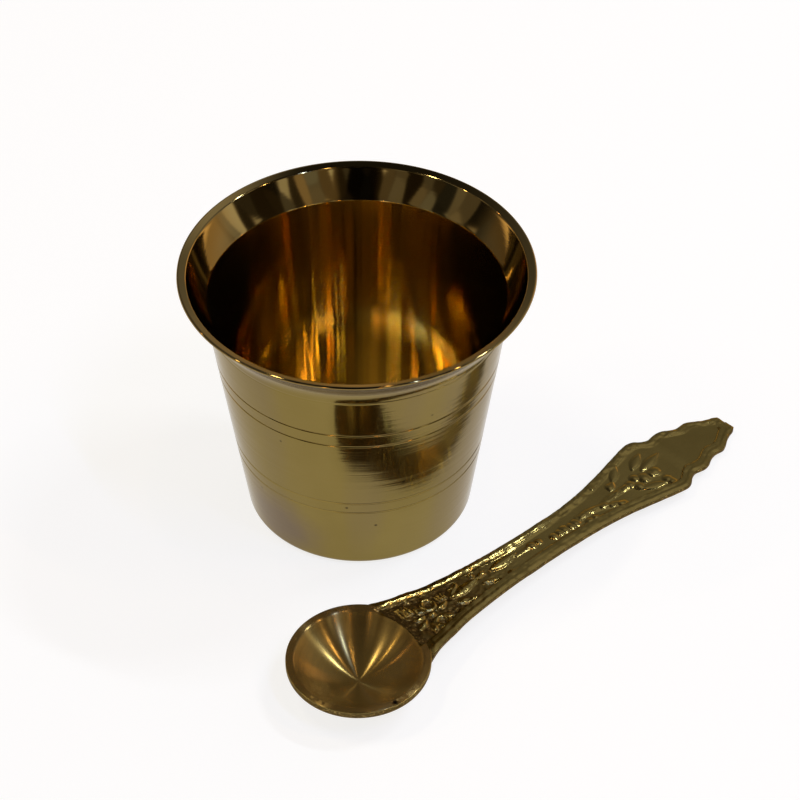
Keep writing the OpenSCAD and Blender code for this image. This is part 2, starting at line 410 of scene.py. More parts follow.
beads = (  # place and radius
    ((20.6, -0.4), 0.8),
    ((28.9, 2.8), 0.6), ((30.6, 2.9), 0.5), ((35.2, 2.8), 0.65), ((37.8, 1.6), 0.5),
    ((26.2, -3.6), 0.6), ((28.0, -3.7), 0.6), ((30.0, -3.4), 0.6), ((43.0, -2.1), 0.65),
    ((52.0, 0.8), 0.85), ((54.0, 0.7), 0.7), ((57.8, -0.4), 0.8), ((61.2, -0.3), 0.95),
    ((59.6, -0.4), 0.8), ((64.6, -0.6), 0.95), ((63.0, -0.6), 0.8), ((67.6, -2.5), 0.95),
    ((69.4, -2.4), 0.7), ((79.2, 2.3), 0.9), ((85.4, 0.6), 0.9), ((87.2, -0.7), 1.15),
    ((90.6, -0.9), 1.1), ((89.4, -1.0), 0.8), ((84.4, -1.9), 0.95), ((91.0, -4.6), 0.95),
    ((91.2, -5.8), 0.9), ((83.2, -0.2), 0.9),
)
stalks = (  # points along the middle, half width
    (((66.0, 0.0), (69.4, 0.1), (72.8, -0.8), (75.2, -1.9), (78.0, -3.3)), 1.0),
    (((72.8, -0.8), (76.0, -0.1), (79.4, 0.0), (83.2, -0.2)), 0.9),
    (((47.2, 0.9), (49.6, 0.9), (51.8, 0.8)), 0.6),
)
strokes = (  # first place, step to the next, count, length across: chased hatching in the corners
    ((15.0, 4.0), (0.85, -0.1), 4, 2.6),
    ((24.6, 2.4), (0.9, 0.0), 3, 1.5),
)
relief = {  # heights are shares of the ground's depth
    "petalH": 0.85,
    "petalFull": 1.15,           # over 1 a motif is fullest past its middle
    "ringH": 0.8,
    "leafH": 0.75,
    "leafFull": 0.9,
    "leafLess": (0.3, 70, 78),   # the head's leaves are lower
    "beadSpread": 1.2,
    "beadWorn": (0.2, 44, 50),   # past the leaves the beads are broader and lower
    "beadLess": (0.2, 74, 80),   # and on the head lower still
    "beadFullR": 0.7,            # beads of a smaller radius are lower
    "stalkH": 0.5,
    "stalkBumps": ((0.3, 1.0, 7),),
    "strokeH": 0.6,
    "strokeHalf": 0.42,
}


def reliefDome(s, w):
    dome = np.zeros(s.shape)
    for angle, inner, outer, half, hollow in petals:
        way = np.array((math.cos(math.radians(angle)), math.sin(math.radians(angle))))
        start, end = flowerAt + way * inner, flowerAt + way * outer
        petal = leafDome(s, w, start, end, half, hollow, relief["petalFull"])
        dome = np.maximum(dome, petal * relief["petalH"])
    for place, radius, half in rings:
        dome = np.maximum(dome, ringDome(s, w, place, radius, half) * relief["ringH"])
    leafH = relief["leafH"] - ramp(relief["leafLess"], s)
    for start, end, half, hollow in leaves:
        leaf = leafDome(s, w, start, end, half, hollow, relief["leafFull"])
        dome = np.maximum(dome, leaf * leafH)
    worn = ramp(relief["beadWorn"], s)
    beadH = 1 - worn - ramp(relief["beadLess"], s)
    for place, radius in beads:
        bead = beadDome(s, w, place, radius * (relief["beadSpread"] + worn))
        dome = np.maximum(dome, bead * min(1, radius / relief["beadFullR"]) * beadH)
    stalkH = relief["stalkH"] + randomBumps(s, w, relief["stalkBumps"])
    for points, half in stalks:
        dome = np.maximum(dome, ridgeDome(s, w, points, half) * stalkH)
    for first, step, count, length in strokes:
        for i in range(count):
            middle = np.array(first) + np.array(step) * i
            ends = (middle - (0, length / 2), middle + (0, length / 2))
            dome = np.maximum(dome, ridgeDome(s, w, ends, relief["strokeHalf"]) * relief["strokeH"])
    return dome


face = {  # the handle's face: a change has its amount and its places, bumps are given in layers
    "edgeDrop": 0.3,             # the outer edge lies this far below the border's crest,
    "edgeLift": (0.6, 15, 20, 100, 108),   # along the upper side this share less
    "webDrop": 0.5,              # the web's fall for each mm of its width
    "lowWorn": 0.3,              # share of the edge's drop that is worn away: lower side,
    "highWorn": (0.5, 56, 66),   # upper side of the head
    "tipWorn": 0.5,              # and round the tip
    "tip": (108, 113),
    "tipBevelW": 0.9,
    "bevelW": 0.95,
    "lowBevelW": 2.1,            # the lower border is broader and rounder
    "borderW": 1.6,              # edge to the foot of the border's inner slope
    "leanDrop": 0.32,            # the border's face leans in towards the panel,
    "leanFrom": (12.5, 15.5),
    "leanCurve": 1.3,
    "lowLean": 0.3,              # the lower one less
    "wallW": 0.35,               # the wall down to the ground,
    "wallMore": (0.6, 40, 48),   # less steep along the upper side of the stem and head
    "wear": ((0.1, 2.1, 3), (0.06, 0.9, 4)),
    "lowWear": 0.4,
    "lowFlat": (0.6, 40, 50, 70, 80),      # the lower border all but ends along the stem,
    "highFlat": (0.8, 58, 63),   # the upper one from there on
    "flatDepth": 0.8,
    "groundDepth": 0.75,
    "groundSteps": ((-0.35, 42, 54), (0.15, 74, 82), (-0.25, 95, 99)),
    "matting": ((0.07, 0.55, 5), (0.06, 1.3, 6)),
    "mattingShare": 0.8,
    "mattingLess": (0.76, 30, 50),         # hardly any is left past the leaves
    "rootBumps": ((0.16, 1.0, 8),),
    "rootBumpsTo": (24, 32),
    "reliefLow": 0.1,            # the relief stays this far below the crest
    "plainRing": (14.0, 15.4),   # no relief right at the well's edge
    "wellDrop": 0.4,             # the border sinks into the well's edge
    "wellDropRing": (13.6, 16.5),
}


def groundDepth(s):
    share = 1
    for change in face["groundSteps"]:
        share = share + ramp(change, s)
    return face["groundDepth"] * share


def topHeight(s, w):
    # height of the handle's face, with the border, the ground and the relief on it
    lower = w < 0
    fromCentre = np.hypot(s, w)
    fillet = filletHalf(s)
    outer = halfWidth(s)
    atTip = smooth(*face["tip"], s)

    # the bevel down to the outer edge
    toEdge = np.minimum(outer - np.abs(w), reach - s)
    worn = np.where(lower, face["lowWorn"], ramp(face["highWorn"], s))
    worn = worn * (1 - atTip) + face["tipWorn"] * atTip
    bevelW = np.where(lower, face["lowBevelW"], face["bevelW"]) + fillet
    bevelW = bevelW + (face["tipBevelW"] - bevelW) * atTip
    edgeDrop = face["edgeDrop"] * np.where(lower, 1, 1 - ramp(face["edgeLift"], s))
    edgeDrop = (edgeDrop + face["webDrop"] * fillet) * (1 - worn)
    bevel = np.sin(np.clip(toEdge / bevelW, 0, 1) * math.pi / 2)

    # the border and its inner wall
    inner = np.minimum(outer - fillet - np.abs(w), reach - s)
    across = np.clip((inner - face["bevelW"]) / (face["borderW"] - face["bevelW"]), 0, 1)
    lean = np.where(lower, face["lowLean"], smooth(*face["leanFrom"], s)) * across ** face["leanCurve"]
    borderW = face["borderW"] + np.where(lower, face["lowBevelW"] - face["bevelW"], 0)
    wallW = face["wallW"] + np.where(lower, 0, ramp(face["wallMore"], s))
    inside = smooth(borderW, borderW + wallW, inner)
    flat = np.where(lower, ramp(face["lowFlat"], s), ramp(face["highFlat"], s))
    ground = groundDepth(s)
    border = face["leanDrop"] * lean * (1 - flat) + ground * flat * face["flatDepth"]
    wear = randomBumps(s, w, face["wear"]) * np.where(lower, face["lowWear"], 1)

    # the ground, matted with a punch, and what stands on it
    matted = randomBumps(s, w, face["matting"]) * (face["mattingShare"] - ramp(face["mattingLess"], s))
    matted = matted + randomBumps(s, w, face["rootBumps"]) * (1 - smooth(*face["rootBumpsTo"], s))
    raised = reliefDome(s, w) * (ground - face["reliefLow"])
    floor = -ground + (raised + matted) * smooth(*face["plainRing"], fromCentre)
    height = inside * floor + (1 - inside) * (wear - border)
    toWell = face["wellDrop"] * (1 - smooth(*face["wellDropRing"], fromCentre))
    return crestZ(s) + height - edgeDrop * (1 - bevel) - toWell * (1 - inside)


def handleMesh():
    # a grid is wrapped round the handle's section: the face first, then the side and the plain back
    rows, top, back, sides = (spoon[k] for k in ("rows", "topColumns", "backColumns", "sideColumns"))
    deselectAll()
    bpy.ops.mesh.primitive_grid_add(x_subdivisions=rows, y_subdivisions=top + back, size=1)
    piece = bpy.context.active_object
    piece.name = "spoonCast"
    co = readAll(piece.data.vertices, "co")
    row = np.rint((co[:, 0] + 0.5) * rows).astype(int)
    column = np.rint((co[:, 1] + 0.5) * (top + back)).astype(int)

    s = spoon["rootAt"] + (reach - spoon["rootAt"]) * row / rows
    half = halfWidth(s)
    t = 1 - 2 * np.clip(column / top, 0, 1)
    packed = spoon["edgePacking"]
    w = half * t * (1 + packed - packed * t * t)
    z = topHeight(s, w)
    nearBowl = np.clip((spoon["underDropTo"] - s) / spoon["underDropL"], 0, 1)
    under = crestZ(s) - thickness(s) - spoon["underDrop"] * nearBowl ** 2

    turn = (column - top) / back
    lap = np.clip(np.minimum(turn, 1 - turn) * back, 0, sides)
    side = np.where(turn < 0.5, -1.0, 1.0)
    run = np.clip((lap - 1) / (sides - 1), 0, 1)
    corner = half - spoon["underRun"] * run
    spread = np.clip((turn * back - sides) / (back - 2 * sides), 0, 1)
    inFlat = lap >= sides
    backW = np.where(inFlat, (half - spoon["underRun"]) * (2 * spread - 1), side * corner)
    sideTop = topHeight(s, side * half)
    edgeLow = np.maximum(sideTop - spoon["edgeT"] * np.clip(lap, 0, 1), under)
    backZ = np.where(inFlat, under, edgeLow + (under - edgeLow) * run ** spoon["underCurve"])
    onBack = column > top
    w = np.where(onBack, backW, w)
    z = np.where(onBack, backZ, z)
    lastColumn = column == top + back
    w = np.where(lastColumn, half, w)
    z = np.where(lastColumn, topHeight(s, half), z)

    piece.data.vertices.foreach_set("co", (np.stack((s, w + drift(s), z), 1) * mm).ravel())
    bpy.ops.object.mode_set(mode='EDIT')
    bpy.ops.mesh.select_all(action='SELECT')
    bpy.ops.mesh.remove_doubles(threshold=mergeWithin)
    bpy.ops.mesh.select_all(action='DESELECT')
    bpy.ops.mesh.select_mode(type='EDGE')
    bpy.ops.mesh.select_non_manifold()
    bpy.ops.mesh.fill_holes(sides=0)
    bpy.ops.mesh.select_mode(type='VERT')
    bpy.ops.mesh.select_all(action='SELECT')
    bpy.ops.mesh.normals_make_consistent(inside=False)
    bpy.ops.object.mode_set(mode='OBJECT')
    return piece


wellEdgeR = bowlR - spoon["rimW"]
wellDepth = rimH - spoon["bowlFloor"]
wellR = (wellEdgeR ** 2 + wellDepth ** 2) / (2 * wellDepth)
wellCentreZ = spoon["bowlFloor"] + wellR


def bowlBlankProfile():
    rim = (bowlR, rimH)
    edgeLow = rimH - spoon["edgeH"]
    centre = (bowlR ** 2 + edgeLow ** 2 - spoon["seatR"] ** 2) / (2 * edgeLow)
    radius = math.hypot(spoon["seatR"], centre)
    fromDeg = math.degrees(math.atan2(-centre, spoon["seatR"]))
    toDeg = math.degrees(math.atan2(edgeLow - centre, bowlR))
    back = arc((0, centre), radius, fromDeg, toDeg, steps=28)
    low = roundCorner(back[-3], back[-1], rim, spoon["lowEdgeRound"], steps=4)
    top = roundCorner(back[-1], rim, (0, rimH), spoon["topEdgeRound"], steps=4)
    seatRing, topRing = spoon["flatRings"]
    flatTop = [(topRing, rimH), (0, rimH)]
    return [(0, 0), (seatRing, 0)] + back[:-1] + low + top + flatTop


def bowlWellProfile():
    # the tool that bores the well, up through the rim and out
    lip = spoon["wellRound"]
    out = wellEdgeR + lip + 0.02     # leans outwards, so that the profile never folds back
    above = rimH + 1.5
    rimDeg = math.degrees(math.asin((rimH - wellCentreZ) / wellR))
    inside = arc((0, wellCentreZ), wellR, -90, rimDeg, steps=44)
    inside[0] = (0, inside[0][1])
    corner = roundCorner(inside[-5], inside[-1], (bowlR, rimH), lip, steps=8)
    return inside[:-5] + corner + [(out, above), (0, above)]


def panelRecess():
    # room in the bowl's rim for the sunken panel, which starts right at the well's edge
    deselectAll()
    bpy.ops.mesh.primitive_cube_add(size=1)
    piece = bpy.context.active_object
    fromS, toS, half, low = spoon["panelCut"]
    tall = 4.0
    size = Vector((toS - fromS, 2 * half, tall)) * mm
    middle = Vector(((fromS + toS) / 2, 0, low + tall / 2)) * mm
    bpy.ops.object.mode_set(mode='EDIT')
    bpy.ops.mesh.select_all(action='SELECT')
    bpy.ops.transform.resize(value=size)
    bpy.ops.transform.translate(value=middle)
    bpy.ops.object.mode_set(mode='OBJECT')
    return piece


spoonPiece = handleMesh()
bowlBlank = turnOnLathe("bowlBlank", bowlBlankProfile(), spoon["bowlSteps"])
joinSolids(bowlBlank, panelRecess(), 'DIFFERENCE')
bowlWell = turnOnLathe("bowlWell", bowlWellProfile(), spoon["bowlSteps"])
joinSolids(spoonPiece, bowlBlank, 'UNION')
joinSolids(spoonPiece, bowlWell, 'DIFFERENCE')
print("spoon cast:", len(spoonPiece.data.polygons), "faces")


# Where each finish goes

def markCup(piece):
    # three finishes: plain turned outside, bored inside, buffed flare and lip
    pastMiddle = 0.6     # share of the wall or floor past which a face counts as inside
    mesh = piece.data
    centre = readAll(mesh.polygons, "center") / mm
    fromAxis = np.hypot(centre[:, 0], centre[:, 1])
    creaseH = cup["height"] - cup["creaseDrop"]
    bored = (fromAxis < coneR(centre[:, 2]) - cup["wall"] * pastMiddle) & (centre[:, 2] < creaseH)
    bored &= centre[:, 2] > cup["floor"] * pastMiddle
    facingUp = readAll(mesh.polygons, "normal")[:, 2] > 0.02
    buffed = (centre[:, 2] >= creaseH) & facingUp
    mesh.polygons.foreach_set("material_index", (bored * 1 + buffed * 2).astype(np.int32))


skin = {
    "handleFrom": 12.5,          # past this place, and outside the well, the casting is handle
    "wellGap": 0.2,
    "faceDeep": 1.1,             # the handle's face reaches this far below the crest,
    "edgeDeep": 0.5,             # and this far within edgeW of its side
    "edgeW": 0.3,
    "lowEdgeW": 0.15,            # the lower side has bare skin up to here
    "brightTo": 0.25,            # less than this below the crest stays bright
    "darkMost": 1.2,
    "rubbed": (0.65, 24, 46),    # the stem and head are rubbed bright all over
    "shadeAtWell": 0.75,            # painted shade where the panel meets the well
    "shadeAtWellRing": (14.2, 16.5),
    "skinShade": 0.95,            # raw skin on the back and on the bowl's outside, darkened with painted shade,
    "skinFrom": (0.12, 0.2),     # which starts this far inside its edge and below its rim
    "rimDark": 0.6,
    "rimFrom": (0.1, 0.4),
    "turnedOff": 0.08,           # how far a turned face may lie off the well's sphere
    "turnedFrom": (0.15, 0.6),
    "turnedTo": 11.5,            # the rim is turned up to here, and beside the panel's start
    "besidePanel": (14.8, 6.3),  # inside this radius, further than this from the middle
}


def markSpoon(piece):
    # the bowl's inside and rim are turned, the rest keeps its cast skin, darker in the recesses, with
    # painted shade on the back, round the bowl's outside and where the panel meets the well
    mesh = piece.data
    co = readAll(mesh.vertices, "co") / mm
    s, w, z = co.T
    w = w - drift(s)
    fromCentre = np.hypot(s, w)
    onHandle = (s > skin["handleFrom"]) & (fromCentre > wellEdgeR - skin["wellGap"])
    toEdge = np.minimum(halfWidth(s) - np.abs(w), reach - s)
    faceLow = crestZ(s) - np.where(toEdge > skin["edgeW"], skin["faceDeep"], skin["edgeDeep"])
    onFace = onHandle & (z > faceLow) & ((toEdge > skin["lowEdgeW"]) | (w > 0))
    below = (crestZ(s) - z - skin["brightTo"]) / (face["groundDepth"] - skin["brightTo"])
    below = np.clip(below, 0, skin["darkMost"]) * (1 - ramp(skin["rubbed"], s))
    # painted shade: the face is darkened near the well's edge, where the panel meets it
    paintedShadeAtWell = skin["shadeAtWell"] * onHandle * (1 - smooth(*skin["shadeAtWellRing"], fromCentre))
    depth = np.maximum(np.where(onFace, below, 0), paintedShadeAtWell)
    inwards, down = skin["skinFrom"]
    outside = (fromCentre > bowlR - inwards) & (z < rimH - down)
    # the back and the bowl's outside get raw skin, made dark as painted shade
    depth[(onHandle & ~onFace) | (~onHandle & outside)] = skin["skinShade"]
    inwards, down = skin["rimFrom"]
    rim = (fromCentre < bowlR - inwards) & (z > rimH - down) & (s < skin["handleFrom"])
    depth[rim] = skin["rimDark"]
    # depth of the hollows, together with the painted shade of the back, the bowl's outside and the well's
    # edge
    recess = mesh.attributes.new("recess", 'FLOAT', 'POINT')
    recess.data.foreach_set("value", depth.astype(np.float32))

    centre = readAll(mesh.polygons, "center") / mm
    fromAxis = np.hypot(centre[:, 0], centre[:, 1])
    onSphere = np.abs(np.hypot(fromAxis, centre[:, 2] - wellCentreZ) - wellR) < skin["turnedOff"]
    inwards, down = skin["turnedFrom"]
    onRim = (fromAxis < bowlR - inwards) & (centre[:, 2] > rimH - down)
    within, beyond = skin["besidePanel"]
    onRim &= (centre[:, 0] < skin["turnedTo"]) | ((fromAxis < within) & (np.abs(centre[:, 1]) > beyond))
    turned = (onSphere & (fromAxis < bowlR)) | onRim
    mesh.polygons.foreach_set("material_index", turned.astype(np.int32))

    # UVs run round the bowl, so that its sheen follows the turning
    uv = mesh.uv_layers.new(name="turning")
    loopVertex = np.zeros(len(mesh.loops), int)
    mesh.loops.foreach_get("vertex_index", loopVertex)
    loopTotal = np.zeros(len(mesh.polygons), int)
    mesh.polygons.foreach_get("loop_total", loopTotal)
    faceOfLoop = np.repeat(np.arange(len(mesh.polygons)), loopTotal)
    faceAngle = np.arctan2(centre[:, 1], centre[:, 0])[faceOfLoop]
    point = co[loopVertex]
    across = np.hypot(point[:, 0], point[:, 1])
    angle = np.where(across < 0.01, faceAngle, np.arctan2(point[:, 1], point[:, 0]))
    angle = faceAngle + (angle - faceAngle + math.pi) % (2 * math.pi) - math.pi
    turnedLoop = turned[faceOfLoop]
    u = np.where(turnedLoop, angle / (2 * math.pi), point[:, 0] / reach)
    v = np.where(turnedLoop, across / reach, point[:, 1] / reach)
    uv.data.foreach_set("uv", np.stack((u, v), 1).astype(np.float32).ravel())


def dentSpoon(piece):
    # sinks the pit into the bowl's rim
    mesh = piece.data
    co = readAll(mesh.vertices, "co") / mm
    fromPit = np.linalg.norm(co - np.array(spoon["pitAt"]), axis=1)
    co[:, 2] -= spoon["pitDeep"] * smooth(spoon["pitR"], 0, fromPit)
    mesh.vertices.foreach_set("co", (co * mm).ravel())


# Materials

def hexColour(code):
    parts = [int(code[i:i + 2], 16) / 255 for i in (1, 3, 5)]
    return tuple(c / 12.92 if c <= 0.04045 else ((c + 0.055) / 1.055) ** 2.4 for c in parts) + (1.0,)


rgba = {"data_type": 'RGBA'}
eased = {"interpolation_type": 'SMOOTHSTEP'}
product = {"operation": 'MULTIPLY'}


def addNode(tree, kind, links=None, settings=None):
    # kind without ShaderNode, links: input name or number -> (node, output name or number), or a value
    node = tree.nodes.new("ShaderNode" + kind)
    for key, value in (settings or {}).items():
        setattr(node, key, value)
    for key, value in (links or {}).items():
        if isinstance(value, tuple) and value and isinstance(value[0], bpy.types.Node):
            tree.links.new(value[0].outputs[value[1]], node.inputs[key])
        else:
            node.inputs[key].default_value = value
    return node


def newMaterial(name):
    material = bpy.data.materials.new(name)
    material.use_nodes = True
    tree = material.node_tree
    tree.nodes.clear()
    return material, tree


# middle of the mauve-grey patch near the cup's foot
mauvePatchAt = Vector((-17.7, -19.6, 9.0)) * mm


def turnedBrass(name, pale, deep, rough, drawnOut, markDepth, waveDepth=0.0, poreShare=0.0, mauveShare=0.0):
    # yellow brass cut on a lathe and buffed: mirror-like round the turning, drawn out up and down
    material, tree = newMaterial(name)
    coords = addNode(tree, 'TexCoord')
    tarnish = addNode(tree, 'TexNoise',
        {"Vector": (coords, "Object"), "Scale": 1 / (18 * mm), "Detail": 4.0, "Roughness": 0.55})
    colour = addNode(tree, 'Mix', {0: (tarnish, "Fac"), 6: hexColour(deep), 7: hexColour(pale)}, rgba)
    # mauve-grey mixed into the colour in soft upright bands, and in one ragged patch near the foot
    upright = addNode(tree, 'Mapping',
        {"Vector": (coords, "Object"), "Scale": (1 / (16 * mm), 1 / (16 * mm), 1 / (90 * mm))})
    bands = addNode(tree, 'TexNoise', {"Vector": (upright, 0), "Scale": 1.0})
    mauve = addNode(tree, 'MapRange',
        {"Value": (bands, "Fac"), "From Min": 0.45, "From Max": 0.7, "To Max": mauveShare})
    fromStain = addNode(tree, 'VectorMath', {0: (coords, "Object"), 1: mauvePatchAt}, {"operation": 'DISTANCE'})
    ragged = addNode(tree, 'Math',
        {0: (tarnish, "Fac"), 1: 14 * mm, 2: (fromStain, "Value")}, {"operation": 'MULTIPLY_ADD'})
    mauvePatch = addNode(tree, 'MapRange',
        {"Value": (ragged, 0), "From Min": 10 * mm, "From Max": 20 * mm, "To Min": mauveShare * 2.5,
         "To Max": 0.0}, eased)
    mauve = addNode(tree, 'Math', {0: (mauve, 0), 1: (mauvePatch, 0)}, {"operation": 'MAXIMUM'})
    colour = addNode(tree, 'Mix', {0: (mauve, 0), 6: (colour, 2), 7: hexColour("#6f6055")}, rgba)
    # casting pores: a dark pin-hole in a few cells of a 6 mm pattern
    cells = addNode(tree, 'TexVoronoi', {"Vector": (coords, "Object"), "Scale": 1 / (6 * mm)})
    chance = addNode(tree, 'SeparateColor', {0: (cells, "Color")})
    chosen = addNode(tree, 'Math', {0: (chance, 0), 1: poreShare}, {"operation": 'LESS_THAN'})
    pit = addNode(tree, 'MapRange',
        {"Value": (cells, "Distance"), "From Min": 0.03, "From Max": 0.07, "To Min": 0.85, "To Max": 0.0})
    pore = addNode(tree, 'Math', {0: (chosen, 0), 1: (pit, 0)}, product)
    pitted = addNode(tree, 'Mix', {0: (pore, 0), 6: (colour, 2), 7: hexColour("#2c200f")}, rgba)
    # tool marks: ridges round the cup, one every millimetre or so, coarser than real ones so that they show
    stretched = addNode(tree, 'Mapping',
        {"Vector": (coords, "Object"), "Scale": (1 / (50 * mm), 1 / (50 * mm), 1 / (0.9 * mm))})
    marks = addNode(tree, 'TexNoise',
        {"Vector": (stretched, 0), "Scale": 1.0, "Detail": 3.0, "Roughness": 0.6})
    bump = addNode(tree, 'Bump', {"Distance": markDepth * mm, "Height": (marks, "Fac")})
    # faint upright waves round the wall, none on the floor, break what it mirrors into streaks
    axes = addNode(tree, 'SeparateXYZ', {0: (coords, "Object")})
    onWall = addNode(tree, 'MapRange',
        {"Value": (axes, "Z"), "From Min": cup["floor"] * mm, "From Max": cup["floor"] * 3 * mm}, eased)
    fluted = addNode(tree, 'Mapping', {"Vector": (coords, "Object"), "Scale": (1, 1, 0)})
    fluted = addNode(tree, 'VectorMath', {0: (fluted, 0)}, {"operation": 'NORMALIZE'})
    waves = addNode(tree, 'TexNoise', {"Vector": (fluted, 0), "Scale": cup["baseR"] / 2.6, "Detail": 1.0})
    bump = addNode(tree, 'Bump',
        {"Strength": (onWall, 0), "Distance": waveDepth * mm, "Height": (waves, "Fac"),
         "Normal": (bump, 0)})
    tangent = addNode(tree, 'Tangent', settings={"direction_type": 'RADIAL', "axis": 'Z'})
    surface = addNode(tree, 'BsdfPrincipled',
        {"Base Color": (pitted, 2), "Metallic": 1.0, "Roughness": rough, "Anisotropic": drawnOut,
         "Anisotropic Rotation": 0.25, "Tangent": (tangent, 0), "Normal": (bump, 0),
         "Specular Tint": (0.86, 0.82, 0.76, 1)})
    addNode(tree, 'OutputMaterial', {"Surface": (surface, 0)})
    return material


def addPit(tree, coords, colour):
    # the casting pit is nearly black
    fromPit = addNode(tree, 'VectorMath',
        {0: (coords, "Object"), 1: onTable @ (Vector(spoon["pitAt"]) * mm)}, {"operation": 'DISTANCE'})
    shade = addNode(tree, 'MapRange',
        {"Value": (fromPit, "Value"), "From Min": 0.4 * spoon["pitR"] * mm, "From Max": spoon["pitR"] * mm,
         "To Min": 1.0, "To Max": 0.0})
    return addNode(tree, 'Mix', {0: (shade, 0), 6: (colour, 2), 7: hexColour("#0e0906")}, rgba)


def turnedBowlBrass():
    # the spoon's bowl is bored on the lathe and left satin: lamps draw out into spokes, rings show in it
    material, tree = newMaterial("turnedBowlBrass")
    coords = addNode(tree, 'TexCoord')
    tarnish = addNode(tree, 'TexNoise',
        {"Vector": (coords, "Object"), "Scale": 1 / (6 * mm), "Detail": 4.0, "Roughness": 0.6})
    colour = addNode(tree, 'Mix',
        {0: (tarnish, "Fac"), 6: hexColour("#8b7239"), 7: hexColour("#9a8045")}, rgba)
    # rings: noise along the bowl's radius, one every 0.4 mm or so, coarse enough to show
    turning = addNode(tree, 'UVMap', settings={"uv_map": "turning"})
    outward = addNode(tree, 'Mapping', {"Vector": (turning, 0), "Scale": (1.5, reach / 0.4, 0)})
    rings = addNode(tree, 'TexNoise',
        {"Vector": (outward, 0), "Scale": 1.0, "Detail": 3.0, "Roughness": 0.6})
    ringed = addNode(tree, 'MapRange',
        {"Value": (rings, "Fac"), "From Min": 0.35, "From Max": 0.65, "To Max": 0.3})
    colour = addNode(tree, 'Mix', {0: (ringed, 0), 6: (colour, 2), 7: hexColour("#6f5c31")}, rgba)
    # the flat rim is duller and browner than the bowl
    outwards = addNode(tree, 'SeparateXYZ', {0: (turning, 0)})
    rim = addNode(tree, 'MapRange',
        {"Value": (outwards, "Y"), "From Min": (wellEdgeR - 0.4) / reach,
         "From Max": (wellEdgeR + 0.1) / reach, "To Max": 0.6}, eased)
    colour = addNode(tree, 'Mix', {0: (rim, 0), 6: (colour, 2), 7: hexColour("#83693b")}, rgba)
    colour = addPit(tree, coords, colour)
    tangent = addNode(tree, 'Tangent', settings={"direction_type": 'UV_MAP', "uv_map": "turning"})
    surface = addNode(tree, 'BsdfPrincipled',
        {"Base Color": (colour, 2), "Metallic": 0.75, "Roughness": 0.25, "Anisotropic": 1.0,
         "Anisotropic Rotation": 0.25, "Tangent": (tangent, 0)})
    addNode(tree, 'OutputMaterial', {"Surface": (surface, 0)})
    return material


def castBrass():
    # sand-cast brass with its skin rubbed bright on the high places and brown in the recesses, with painted
    # shade on its back, round the bowl and at the well's edge
    material, tree = newMaterial("castBrass")
    coords = addNode(tree, 'TexCoord')
    recess = addNode(tree, 'Attribute', settings={"attribute_name": "recess"})
    patch = addNode(tree, 'TexNoise',
        {"Vector": (coords, "Object"), "Scale": 1 / (5 * mm), "Detail": 5.0, "Roughness": 0.6})
    grain = addNode(tree, 'TexNoise',
        {"Vector": (coords, "Object"), "Scale": 1 / (0.5 * mm), "Detail": 3.0, "Roughness": 0.6})
    rubbed = addNode(tree, 'Mix',
        {0: (patch, "Fac"), 6: hexColour("#7f6f3f"), 7: hexColour("#8e7d4a")}, rgba)
    # what changes with the hollows' depth and the painted shade: from and to which value of it, and from
    # what to what
    changes = {"dark": (0.3, 1.0, 0.0, 0.85), "rough": (0.1, 0.9, 0.2, 0.36), "raw": (0.85, 0.95, 0.0, 0.7),
               "coarse": (0.4, 0.95, 0.0, 0.8), "metal": (0.5, 1.0, 1.0, 0.85)}
    at = {}
    for what, (low, high, start, end) in changes.items():
        at[what] = addNode(tree, 'MapRange',
            {"Value": (recess, "Fac"), "From Min": low, "From Max": high, "To Min": start, "To Max": end})
    # dark brown: patina in the hollows, and painted shade on the back, round the bowl and at the well's
    # edge
    colour = addNode(tree, 'Mix', {0: (at["dark"], 0), 6: (rubbed, 2), 7: hexColour("#463418")}, rgba)
    # the raw skin has dark specks in the low places of the grain and bright grit on the high ones
    for none, full, speck in ((0.44, 0.34, "#241a0c"), (0.56, 0.66, "#b4965a")):
        share = addNode(tree, 'MapRange', {"Value": (grain, "Fac"), "From Min": none, "From Max": full})
        share = addNode(tree, 'Math', {0: (share, 0), 1: (at["raw"], 0)}, product)
        colour = addNode(tree, 'Mix', {0: (share, 0), 6: (colour, 2), 7: hexColour(speck)}, rgba)
    colour = addPit(tree, coords, colour)
    bump = addNode(tree, 'Bump',
        {"Strength": (at["coarse"], 0), "Distance": 0.1 * mm, "Height": (grain, "Fac")})
    surface = addNode(tree, 'BsdfPrincipled',
        {"Base Color": (colour, 2), "Metallic": (at["metal"], 0), "Roughness": (at["rough"], 0),
         "Specular Tint": (0.6, 0.5, 0.38, 1), "Normal": (bump, 0)})
    addNode(tree, 'OutputMaterial', {"Surface": (surface, 0)})
    return material


cupFinishes = (  # in the order that markCup numbers them, depths in mm
    {"name": "turnedBrass", "pale": "#8a7843", "deep": "#7c6a35", "rough": 0.12, "drawnOut": 0.6,
     "markDepth": 0.035, "poreShare": 0.7, "mauveShare": 0.3},
    {"name": "boredBrass", "pale": "#d5c083", "deep": "#cbb372", "rough": 0.08, "drawnOut": 1.0,
     "markDepth": 0.004, "waveDepth": 0.08, "poreShare": 0.05},
    {"name": "buffedBrass", "pale": "#8d7a4f", "deep": "#806d42", "rough": 0.07, "drawnOut": 0.3,
     "markDepth": 0.008},
)
for finish in cupFinishes:
    cupPiece.data.materials.append(turnedBrass(**finish))
markCup(cupPiece)
spoonPiece.data.materials.clear()
spoonPiece.data.materials.append(castBrass())
spoonPiece.data.materials.append(turnedBowlBrass())
markSpoon(spoonPiece)
dentSpoon(spoonPiece)
spoonPiece.data.transform(onTable)
makeActive(spoonPiece)
bpy.ops.object.shade_smooth_by_angle(angle=math.radians(smoothDeg))
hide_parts("cup")
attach(cupPiece, "cup")
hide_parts("spoon")
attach(spoonPiece, "spoon")
print("materials on")


# Floor, light and camera, in metres

stage = {
    "floorSize": 40.0,
    "floorColour": "#f4f4f4",
    "shadowShare": 0.3,      # how much of the shaded floor shows
    "white": 0.795,          # plain white under it, so that the open floor comes to 1
}


